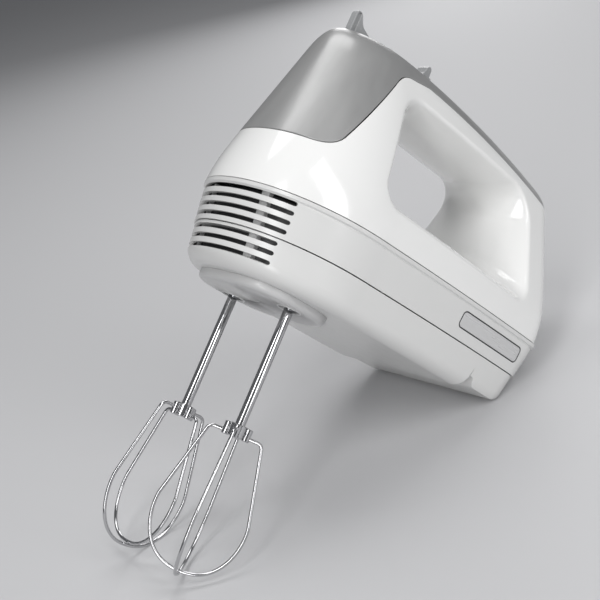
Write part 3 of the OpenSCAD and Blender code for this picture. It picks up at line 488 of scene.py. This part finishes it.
def upper_casing():
    """Nose and rear as upright columns, and between them a flank that runs round the opening."""
    edge = edge_height(-GAP)
    z0 = SEAM_HI + GAP
    s = Skin()
    dense = np.linspace(0, 4, 3000)
    parting = upper(dense, meet(dense, edge))
    seam = upper(dense, np.full(dense.shape, z0))
    # Columns where the nose ends, where the parting line levels out, and where the rear begins.
    c0 = 0.518
    c2 = float(np.interp(5.5, parting[:1500, 0], dense[:1500]))
    cr = 2.5

    def pick(lo, hi, pts, n):
        """n + 1 columns from lo to hi, evenly spaced along the points of the dense columns."""
        use = (dense > lo) & (dense < hi)
        cs = np.r_[lo, dense[use], hi]
        ends = [np.array([np.interp(v, dense, pts[:, k]) for k in range(3)]) for v in (lo, hi)]
        return even(cs, np.vstack([ends[0], pts[use], ends[1]]), n)

    def column(c, n):
        """Columns from the seam to the parting line, in n steps each."""
        top = meet(np.atleast_1d(c), edge)
        t = np.linspace(0, 1, n + 1)
        return upper(np.atleast_1d(c)[:, None], z0 + (top[:, None] - z0) * t)

    rows_front, rows_rear, along = 18, 40, 92
    front = column(pick(0, c0, parting, 34), rows_front)
    s.grid(front)
    rear = column(pick(cr, 4, seam, 44), rows_rear)
    s.grid(rear)
    steep, top = pick(c0, c2, parting, 26), pick(c2, cr, parting, along)
    bottom = pick(c0, cr, seam, along)[::-1]
    outer = np.concatenate([
        front[-1][:-1], upper(steep, meet(steep, edge))[:-1], upper(top, meet(top, edge))[:-1],
        rear[0][::-1][:-1], upper(bottom, np.full(bottom.shape, z0))])
    tau = []
    for side, n in enumerate([rows_front + 26, along, rows_rear, along]):
        t = np.linspace(side, side + 1, 400)
        xz = rim_point(0.25 - t, np.ones(400), RIM_OUT)
        tau.append(0.25 - even(t, xz, n)[:-1])
    tau = np.concatenate(tau + [[0.25 - 4.0]])
    one = np.ones(tau.shape)
    rim = rim_point(tau, one, 0.0)
    rim_y = flank_y(rim[:, 0], rim[:, 1])
    start = rim_point(tau, one, RIM_OUT)
    steps = np.linspace(0, 1, 15)[:, None, None]
    xz = start + (outer[:, [0, 2]] - start) * steps
    flank = np.stack([xz[..., 0], flank_y(xz[..., 0], xz[..., 1]), xz[..., 1]], -1)
    flank[-1] = outer
    s.grid(flank)
    # The rim is rounded from the flank into the wall of the opening.
    s_end = 1 - RIM_IN / rim_y
    inner = rim_point(tau, s_end, 0.0)
    p0 = np.stack([inner[:, 0], s_end * rim_y, inner[:, 1]], -1)
    p1 = np.stack([rim[:, 0], rim_y, rim[:, 1]], -1)
    t = np.linspace(0, 1, 9)[:, None, None]
    s.grid((1 - t) ** 2 * p0 + 2 * t * (1 - t) * p1 + t ** 2 * flank[0])
    wall = []
    for share in np.linspace(0, 1, 17):
        q = rim_point(tau, s_end * share, 0.0)
        wall.append(np.stack([q[:, 0], s_end * share * rim_y, q[:, 1]], -1))
    s.grid(np.array(wall))
    s.mirror()
    ob = s.build("white_casing")
    thicken(ob, 2.0)
    soften(ob, 0.45, segments=3)
    place(ob, "casing", "white_gloss", "upper_shell")


upper_casing()

# ---- cover -----------------------------------------------------------------------------------

CROWN_RUN = 26.0


def top_cover():
    """The cover above the parting line, with slots for the release lever and the slider."""
    edge = edge_height(GAP)
    dense = np.linspace(0, 4, 3000)
    line = upper(dense, meet(dense, edge))
    cs = even(dense, line, 210)
    low = meet(cs, edge)
    u = np.clip((low - SHOULDER) / CROWN_R, 0, 1)
    g0 = np.where(low < SHOULDER, low - SHOULDER, CROWN_RUN * np.arcsin(u ** 1.25))
    g = g0[:, None] + (CROWN_RUN * math.pi / 2 - g0[:, None]) * np.linspace(0, 1, 41)
    turn = np.clip(g / CROWN_RUN, 0, math.pi / 2)
    zn = np.where(g < 0, SHOULDER + g, SHOULDER + CROWN_R * np.sin(turn) ** 0.8)
    s = Skin()
    s.grid(upper(cs[:, None], zn))
    s.mirror()
    ob = s.build("silver_cover")
    thicken(ob, 1.8)
    soften(ob, 0.4, segments=3)
    apply_all(ob)
    lever_slot = box((-18.3, -2.3, 130), (1.2, 2.3, 160))
    slider_slot = box((6.5, -1.6, 130), (39.5, 1.6, 160))
    cut(ob, [lever_slot, slider_slot])
    place(ob, "casing", "silver_satin", "top_cover")


top_cover()

# ---- band and base ---------------------------------------------------------------------------

VENT_R = 1.05
BAND_IN, BASE_IN = 0.55, 1.15
BAND_VENTS, BAND_END = [27.1, 31.6, 36.1, 40.6], -30.8
BASE_VENTS, BASE_END = [11.8, 16.4, 21.0], -32.3
FLOOR_Z = 4.5
HEEL_X, HEEL_Z = 139.0, 11.6
NOTCH_X = 103.0
INLET_R = 5.95


def low_columns():
    """Columns of the band and the base, closer at the ends of the slots and in the notch."""
    dense = np.linspace(0, 4, 4000)
    line = lower(dense, np.full(dense.shape, BAND_Z))
    steps = (0, 0.03, 0.1, 0.25, 0.45, 0.7, 1, 1.3)
    ends = [v - VENT_R * f for v in (BAND_END, BASE_END) for f in steps]
    notch = [NOTCH_X + v for v in (0, 0.02, 1.2, 2, 3, 4, 5, 6, 7, 8.2, 9, 10, 12)]
    extra = np.interp(ends + notch, line[:3000, 0], dense[:3000])
    return np.unique(np.r_[even(dense, line, 230), extra, 0, 3, 4])


COLS = low_columns()
COL_X = lower(COLS, np.full(COLS.shape, BAND_Z))[:, 0]


def vented(g_lo, g_hi, vents, x_end, step):
    """Rows for a wall with slots that end round at x_end, about a step apart between the slots.
    Returns rows by columns, and which cells are open."""
    reach = np.clip((COL_X - (x_end - VENT_R)) / VENT_R, 0, 1)
    h = np.maximum(VENT_R * np.sqrt(1 - reach ** 2), 0.05)
    is_open = COL_X < x_end - 0.01
    stops = [np.full(COLS.shape, g_lo)]
    for v in vents:
        stops += [v - h, v + h]
    stops.append(np.full(COLS.shape, g_hi))
    rows, opens = [stops[0]], []
    for k in range(len(stops) - 1):
        slot = k % 2 == 1
        n = 1 if slot else max(2, int(round(abs(float((stops[k + 1] - stops[k])[-1])) / step)))
        for i in range(1, n + 1):
            rows.append(stops[k] + (stops[k + 1] - stops[k]) * i / n)
            opens.append(slot & is_open[:-1] & is_open[1:])
    return np.array(rows), np.array(opens)


def mid_band():
    """The band, with a raised bead under the upper seam and a hole for the cord's inlet."""
    z, gone = vented(SEAM_LO + GAP, SEAM_HI - GAP, BAND_VENTS, BAND_END, 0.35)
    lip = np.clip((z - 41.9) / 0.5, 0, 1)
    groove = 0.35 * np.exp(-((z - 41.7) / 0.35) ** 2)
    d = groove + BAND_IN * (1 - lip * lip * (3 - 2 * lip))
    s = Skin()
    s.grid(lower(COLS[None, :], z, d), gone)
    s.mirror()
    ob = s.build("vented_band")
    thicken(ob, 2.3)
    soften(ob, 0.3)
    apply_all(ob)
    cut(ob, [rod((REAR_L - 12, 0, BAND_Z), 0, 30, INLET_R)])
    place(ob, "casing", "grey_satin", "mid_band")


mid_band()


def vent_shade_sheet():
    """Dark sheet behind the slots and their upright ribs: painted shade standing in for the shade inside the
    casing.
    """
    front = COLS[COL_X < -20]
    z = np.linspace(9.5, 42.5, 24)
    s = Skin()
    s.grid(lower(front[None, :], z[:, None], 6.7))
    s.mirror()
    ob = s.build("vent_shade_sheet")
    thicken(ob, 0.6)
    # The near-black finish here is painted shade for the inside of the vents, not a real dark part.
    place(ob, "casing", "dark_plastic")


vent_shade_sheet()


def heel_line(x):
    """Underside of the base in side view."""
    half, t = 3.0, TILT
    notch = [(0, FLOOR_Z), (0.02, 5.4), (1.2, 9.5), (3, 11.6), (5, 12), (7, 11.2), (8.2, 9.2), (10, 7.8),
             (12, 7.4)]
    pts = [(NOTCH_X + u, z) for u, z in notch] + [
        (HEEL_X - half * math.cos(t) - 4, 7.4),
        (HEEL_X - half * math.cos(t), HEEL_Z - half * math.sin(t)),
        (HEEL_X + half * math.cos(t), HEEL_Z + half * math.sin(t)),
        (REAR_L - 3.2, 20), (REAR_L + 20, 24)]
    xs, zs = np.array(pts).T
    return np.where(x < NOTCH_X, FLOOR_Z, np.interp(x, xs, zs))


def base_tub():
    """The base, by rows along its wall: above ROUND_Z, g is the height over it, and below it g is
    minus the length along the round edge."""
    def height(g):
        low = ROUND_Z - ROUND_R * np.sin(np.clip(-g / ROUND_R, 0, math.pi / 2))
        return np.where(g > 0, ROUND_Z + g, low)

    def depth(z):
        low = -ROUND_R * np.arcsin(np.clip((ROUND_Z - z) / ROUND_R, 0, 1))
        return np.where(z > ROUND_Z, z - ROUND_Z, low)

    g_hi, g_lo = SEAM_LO - GAP - ROUND_Z, -ROUND_R * math.pi / 2
    g, gone = vented(g_lo, g_hi, [float(depth(np.array(v))) for v in BASE_VENTS], BASE_END, 1.2)
    # Behind the bowl-rest notch the side wall ends higher, on the underside's own line.
    zb = np.full(COLS.shape, FLOOR_Z)
    for _ in range(12):
        zb = heel_line(lower(COLS, zb)[:, 0])
    bottom = depth(zb)
    g = g_hi - (g_hi - g) * (g_hi - bottom) / (g_hi - g_lo)
    side = lower(COLS[None, :], height(g), BASE_IN)
    s = Skin()
    s.grid(side, gone)
    across = COLS <= 3
    line = side[0][across]
    rear_y = side[0][~across | (COLS == 3)][:, 1]
    share = rear_y / rear_y[0]
    floor = np.repeat(line[:, None], len(share), 1)
    floor[..., 1] = line[:, None, 1] * share
    mid = (floor[:-1, :-1] + floor[1:, 1:]) / 2
    s.grid(floor, np.hypot(mid[..., 0], mid[..., 1] - SPINDLE_Y) < 7.2)
    s.mirror()
    ob = s.build("base_tub")
    thicken(ob, 2.0)
    soften(ob, 0.35)
    place(ob, "casing", "grey_satin", "base_shell")


base_tub()

# ---- spindle plate ---------------------------------------------------------------------------

PLATE_X, PLATE_L, PLATE_W = -0.5, 28.5, 32.0
PLATE_EXP, PLATE_EDGE, PLATE_TOP = 2.7, 2.6, 4.4
SOCKET_R = 5.4


def spindle_plate():
    """The plate's face and edge, with a round hole and a raised rim for each beater."""
    def outline(d):
        f = np.linspace(0, 2 * math.pi, 121)
        c, q = np.cos(f), np.sin(f)
        e = 2 / PLATE_EXP
        return np.stack([PLATE_X + (PLATE_L - d) * np.sign(c) * np.abs(c) ** e,
                         (PLATE_W - d) * np.sign(q) * np.abs(q) ** e], -1)

    r = PLATE_EDGE
    rows = [(0.0, PLATE_TOP + 0.05), (0.0, 3.4)] + [
        (r * (1 - math.cos(b)), r * (1 - math.sin(b))) for b in np.radians(np.linspace(0, 90, 10))]
    s = Skin()
    lines = [(outline(d), z) for d, z in rows]
    s.grid(np.array([np.c_[line, np.full(len(line), z)] for line, z in lines]))
    rim = outline(r)[:-1]
    f = np.linspace(0, 2 * math.pi, 49)[:-1]
    rings = [np.stack([SOCKET_R * np.cos(f), y + SOCKET_R * np.sin(f)], -1)
             for y in (-SPINDLE_Y, SPINDLE_Y)]
    pts = np.concatenate([rim] + rings)
    loops, start = [], 0
    for ring in [rim] + rings:
        loops.append(list(range(start, start + len(ring))))
        start += len(ring)
    edges = [(a, b) for lp in loops for a, b in zip(lp, lp[1:] + lp[:1])]
    out = delaunay_2d_cdt([Vector(p) for p in pts], edges, [], 0, 1e-6)
    flat = np.array([[v.x, v.y, 0] for v in out[0]])
    keep = []
    for t in out[2]:
        m = flat[list(t)].mean(0)
        across, along = abs(m[1] / (PLATE_W - r)), abs((m[0] - PLATE_X) / (PLATE_L - r))
        inside = along ** PLATE_EXP + across ** PLATE_EXP < 1.0
        if inside and math.hypot(m[0], abs(m[1]) - SPINDLE_Y) > SOCKET_R - 0.1:
            keep.append(list(t))
    s.add(flat, keep)
    for y in (-SPINDLE_Y, SPINDLE_Y):
        lathe(s, [(SOCKET_R, PLATE_TOP), (SOCKET_R, 0)], (0, y, 0), 48)
    ob = s.build("spindle_plate_skin")
    soften(ob, 0.25, angle=60)
    place(ob, "casing", "pale_grey", "spindle_plate")
    for y, side in ((-SPINDLE_Y, "left"), (SPINDLE_Y, "right")):
        s = Skin()
        f = np.radians(np.linspace(0, 360, 13))
        lathe(s, np.stack([5.95 + 0.5 * np.cos(f), 0.05 + 0.5 * np.sin(f)], -1), (0, y, 0))
        place(s.build(side + "_socket_rim"), "casing", "pale_grey")


spindle_plate()

# ---- beaters ---------------------------------------------------------------------------------

WIRE_R, CAGE_R, TIP, COLLAR_Z, WIDEST_Z = 0.85, 22.4, 132.0, -61.0, -104.0
BEND_R, BEND_X = 3.2, 10.6
TURN = {"left": 44.0, "right": -1.0}


def wire_path(lift, arm):
    """One wire: out of the hub at height arm, down the leg, round the tip and up the other side."""
    f = np.radians(np.linspace(90, 22, 12))
    shoulder = np.stack([BEND_X + BEND_R * np.cos(f), arm - BEND_R + BEND_R * np.sin(f)], -1)
    f = np.radians(np.linspace(12, -90, 46))
    tip = -TIP + WIRE_R + lift
    z = np.where(f > 0, WIDEST_Z + 20 * np.sin(f), WIDEST_Z + (WIDEST_Z - tip) * np.sin(f))
    belly = np.stack([CAGE_R * np.maximum(0, np.cos(f)) ** 0.86, z], -1)
    t = np.linspace(0, 1, 14)[1:-1, None]
    leg = shoulder[-1] * (1 - t) + belly[0] * t
    half = np.vstack([[4.2, arm], [7.2, arm], shoulder, leg, belly])
    whole = np.vstack([half, half[-2::-1] * [-1, 1]])
    return np.stack([whole[:, 0], np.zeros(len(whole)), whole[:, 1]], -1)


def turned(p, degrees, y):
    """Points about the z axis turned by an angle, and moved to y."""
    c, s = math.cos(math.radians(degrees)), math.sin(math.radians(degrees))
    return np.stack([p[..., 0] * c - p[..., 1] * s, p[..., 0] * s + p[..., 1] * c + y, p[..., 2]], -1)


def beater(side):
    """Two crossed wires, the shaft with its two drive lugs, and the hub that holds the wires."""
    y = -SPINDLE_Y if side == "left" else SPINDLE_Y
    body = side + "_beater"
    for which, lift, arm, extra in (("a", 0, COLLAR_Z - 0.1, 0), ("b", 1.85, COLLAR_Z - 2.05, 90)):
        s = Skin()
        sweep(s, turned(wire_path(lift, arm), TURN[side] + extra, y), WIRE_R)
        ob = place(s.build(f"{side}_loop_{which}"), body, "chrome", f"{side}_wire_{which}")
        soften(ob, 0.12)
    s = Skin()
    lathe(s, [(0, -64), (2.1, -64), (2.45, -63.6), (2.45, 41.6), (2.1, 42.1), (2.1, 42.7), (2.45, 43.0),
              (1.45, 44), (0, 44)], (0, y, 0))
    for x0, x1 in ((-4.3, -2.2), (2.2, 4.3)):
        slab(s, [(x0, 2.2), (x1, 2.2), (x1, 7.8), (x0, 7.8)], y - 0.75, y + 0.75)
    ob = place(s.build(side + "_shaft"), body, "chrome", side + "_beater_shaft")
    sharpen(ob)
    s = Skin()
    lathe(s, [(2.5, 2.6), (4.0, 2.6), (4.3, 2.3), (4.3, -3.3), (4.0, -3.6), (0, -3.6)], (0, y, COLLAR_Z))
    for k in range(4):
        a = math.radians(TURN[side] + 90 * k)
        at = (5.0 * math.cos(a), y + 5.0 * math.sin(a), COLLAR_Z)
        lathe(s, [(0, 2.3), (1.55, 2.3), (1.9, 1.95), (1.9, -3.55), (1.55, -3.9), (0, -3.9)], at, 32)
    ob = place(s.build(side + "_hub"), body, "chrome", side + "_collar")
    sharpen(ob)


for name in ("left", "right"):
    beater(name)

# ---- controls --------------------------------------------------------------------------------

LEVER_X, FIN_BASE = -8.6, 137.44
SLIDER_X = 35.0


def release_fin():
    """The release lever's fin above the cover, and its stem below."""
    s = Skin()
    foot = FIN_BASE - 5
    back = [(-5.2, 151.0), (-4.3, 149.6), (-3.2, 147.6), (-2.0, 146.2), (-0.6, 145.4), (1.2, 144.8),
            (3.4, 144.1), (5.4, 143.2), (7.2, 141.9), (8.6, 140.2), (9.2, FIN_BASE), (9.2, foot)]
    body = [(-6.0, foot), (-6.0, 151.4)] + back
    web = [(-8.4, foot), (-8.4, 151.0), (-5.8, 151.0), (-5.8, foot)]
    flange = [(-9.2, foot), (-9.2, 149.4), (-9.0, 150.6), (-8.2, 151.4), (-7.2, 151.6), (-6.4, 151.5),
              (-5.6, 151.2), (-6.4, 150.8), (-7.4, 150.7), (-8.0, 150.0), (-8.0, foot)]
    for outline, w in ((body, 1.9), (web, 1.25), (flange, 2.1)):
        slab(s, [(x + LEVER_X, z) for x, z in outline], -w, w)
    ob = s.build("release_fin")
    soften(ob, 0.45, segments=3, angle=40)
    place(ob, "release", "control_grey", "eject_lever")
    s = Skin()
    lathe(s, [(0, foot), (2.2, foot), (2.2, 103.6), (6.3, 103.6), (6.5, 103.4), (6.5, 102.2),
              (6.3, 102), (2.2, 102), (2.2, 79), (0, 79)], (LEVER_X, 0, 0), 40)
    slab(s, [(LEVER_X - 6, foot + 2.6), (LEVER_X + 6, foot + 2.6), (LEVER_X + 6, foot + 4.2),
             (LEVER_X - 6, foot + 4.2)], -4.5, 4.5)
    sharpen(place(s.build("release_stem"), "release", "control_grey"))


def thumb_slider():
    """The speed control's wedge and nub on the cover, and the stem through its slot."""
    top = float(crown(np.array(SLIDER_X)))
    s = Skin()
    wedge = [(-6, 0.25), (-5.9, 0.7), (-5.2, 1.1), (-3, 1.6), (0, 2.2), (3, 2.9), (5.6, 3.2), (6.2, 2.6),
             (6.2, 1.2), (6.0, 0.25)]
    nub = [(-1, 1), (0.6, 3.4), (1.6, 4.6), (2.2, 6.2), (2.7, 8.2), (3.2, 9.0), (4.0, 9.4), (4.9, 9.3),
           (5.6, 8.7), (6.0, 7.6), (6.15, 5), (6.15, 1)]
    slab(s, [(x + SLIDER_X, z + top) for x, z in wedge], -5.5, 5.5)
    slab(s, [(x + SLIDER_X, z + top) for x, z in nub], -3.6, 3.6)
    ob = s.build("thumb_slider")
    soften(ob, 0.5, segments=3, angle=60)
    place(ob, "speed_control", "control_grey", "speed_slider")
    s = Skin()
    stem = [(-3, -13.5), (3, -13.5), (3, 0.5), (-3, 0.5)]
    slab(s, [(x + SLIDER_X, z + top) for x, z in stem], -1.3, 1.3)
    sharpen(place(s.build("slider_stem"), "speed_control", "control_grey"))


release_fin()
thumb_slider()

# ---- badge -----------------------------------------------------------------------------------


def badge(sign, side):
    """Plain rounded inlay inside a thin dark border line, following the bowed flank."""
    cx, cz, half, high, r = 106.0, BAND_Z, 27.0, 4.6, 2.6
    f = np.radians(np.concatenate([np.linspace(90 * k, 90 * k + 90, 9) for k in range(4)]))
    mx = np.repeat([1, -1, -1, 1], 9) * (half - r)
    mz = np.repeat([1, 1, -1, -1], 9) * (high - r)

    def ring(inset, lift):
        """The outline drawn inwards by inset, at a height of lift over the flank."""
        x, z = cx + mx + (r - inset) * np.cos(f), cz + mz + (r - inset) * np.sin(f)
        x, z = np.r_[x, x[0]], np.r_[z, z[0]]
        t = np.linspace(0, len(x) - 1, 36 * 6 + 1)
        x, z = np.interp(t, range(len(x)), x), np.interp(t, range(len(z)), z)
        return np.stack([x, sign * ((half_w(z) - BAND_IN) * bow(x) + lift), z], -1)

    border = ((0, -0.8), (0, 0.08), (0.12, 0.16), (0.55, 0.16), (0.67, 0.08), (0.67, -0.8))
    inlay = ((0.6, -0.8), (0.6, 0.0), (0.75, 0.08), (1.4, 0.1), (2.4, 0.1))
    for name, slot, rows in (("border", "dark_plastic", border), ("inlay", "badge_silver", inlay)):
        s = Skin()
        s.grid(np.array([ring(inset, lift) for inset, lift in rows]))
        if name == "inlay":
            inset = rows[-1][0]
            x = np.linspace(cx - half + inset, cx + half - inset, 60)
            z = np.linspace(cz - high + inset, cz + high - inset, 9)
            x, z = np.meshgrid(x, z)
            s.grid(np.stack([x, sign * ((half_w(z) - BAND_IN) * bow(x) + 0.1), z], -1))
        ob = s.build(f"badge_{name}_{side}")
        if sign < 0:
            ob.data.flip_normals()
        place(ob, "casing", slot, *(["side_badge"] if name == "inlay" else []))


badge(-1, "left")
badge(1, "right")

# ---- stage -----------------------------------------------------------------------------------


def floor():
    """Matte ground under the mixer."""
    me = bpy.data.meshes.new("floor")
    h = 14.0
    me.from_pydata([(-h, -h, 0), (h, -h, 0), (h, h, 0), (-h, h, 0)], [], [(0, 1, 2, 3)])
    ob = bpy.data.objects.new("floor", me)
    bpy.context.scene.collection.objects.link(ob)
    m = finish_of("floor_paint", (0.56, 0.56, 0.57), 0.75, grain=700, bump=0.01, vary=0.01, drift=1.5,
                  rough_vary=0.02)
    me.materials.append(m)


floor()


def look_at(ob, at, target):
    ob.location = Vector(at)
    ob.rotation_mode = "QUATERNION"
    ob.rotation_quaternion = (Vector(target) - Vector(at)).to_track_quat("-Z", "Y")


def soft_box(name, at, target, size, power):
    """Rectangular lamp of a width and a height in m, turned to its target."""
    data = bpy.data.lights.new(name, "AREA")
    data.shape = "RECTANGLE"
    data.size, data.size_y = size
    data.energy = power
    ob = bpy.data.objects.new(name, data)
    bpy.context.scene.collection.objects.link(ob)
    look_at(ob, at, target)


MIDDLE = (0.02, 0, 0.11)
soft_box("key", (-1.0, -0.6, 0.85), MIDDLE, (0.32, 1.8), 12)
soft_box("side", (0.12, -1.4, 0.95), MIDDLE, (0.42, 1.9), 12)
soft_box("top", (0.35, 0.25, 1.5), MIDDLE, (1.1, 0.7), 9)
soft_box("back", (1.1, 0.9, 0.7), MIDDLE, (0.5, 1.0), 5)

world = bpy.data.worlds.new("studio")
bpy.context.scene.world = world
world.use_nodes = True
world.node_tree.nodes["Background"].inputs["Color"].default_value = (0.5, 0.51, 0.53, 1)
world.node_tree.nodes["Background"].inputs["Strength"].default_value = 0.30


def camera():
    """The camera stands in front of the beaters, on the user's left, and leans with the mixer."""
    data = bpy.data.cameras.new("camera")
    data.lens, data.sensor_width = 69.18, 36.0
    ob = bpy.data.objects.new("camera", data)
    bpy.context.scene.collection.objects.link(ob)
    at = row(np.array([-342.51, -433.07, -77.05]))
    right = row(np.array([0.6650, -0.6389, 0.3867])) - row(np.zeros(3))
    ahead = row(np.array([0.6367, 0.7557, 0.1537])) - row(np.zeros(3))
    r, a = Vector(right).normalized(), Vector(ahead).normalized()
    r = (r - a * r.dot(a)).normalized()
    up = r.cross(a)
    turn = Matrix((r, up, -a)).transposed()
    ob.matrix_world = Matrix.Translation(Vector(at)) @ turn.to_4x4()
    data.clip_start, data.clip_end = 0.02, 60
    bpy.context.scene.camera = ob


camera()
bpy.context.scene.view_settings.view_transform = "Standard"
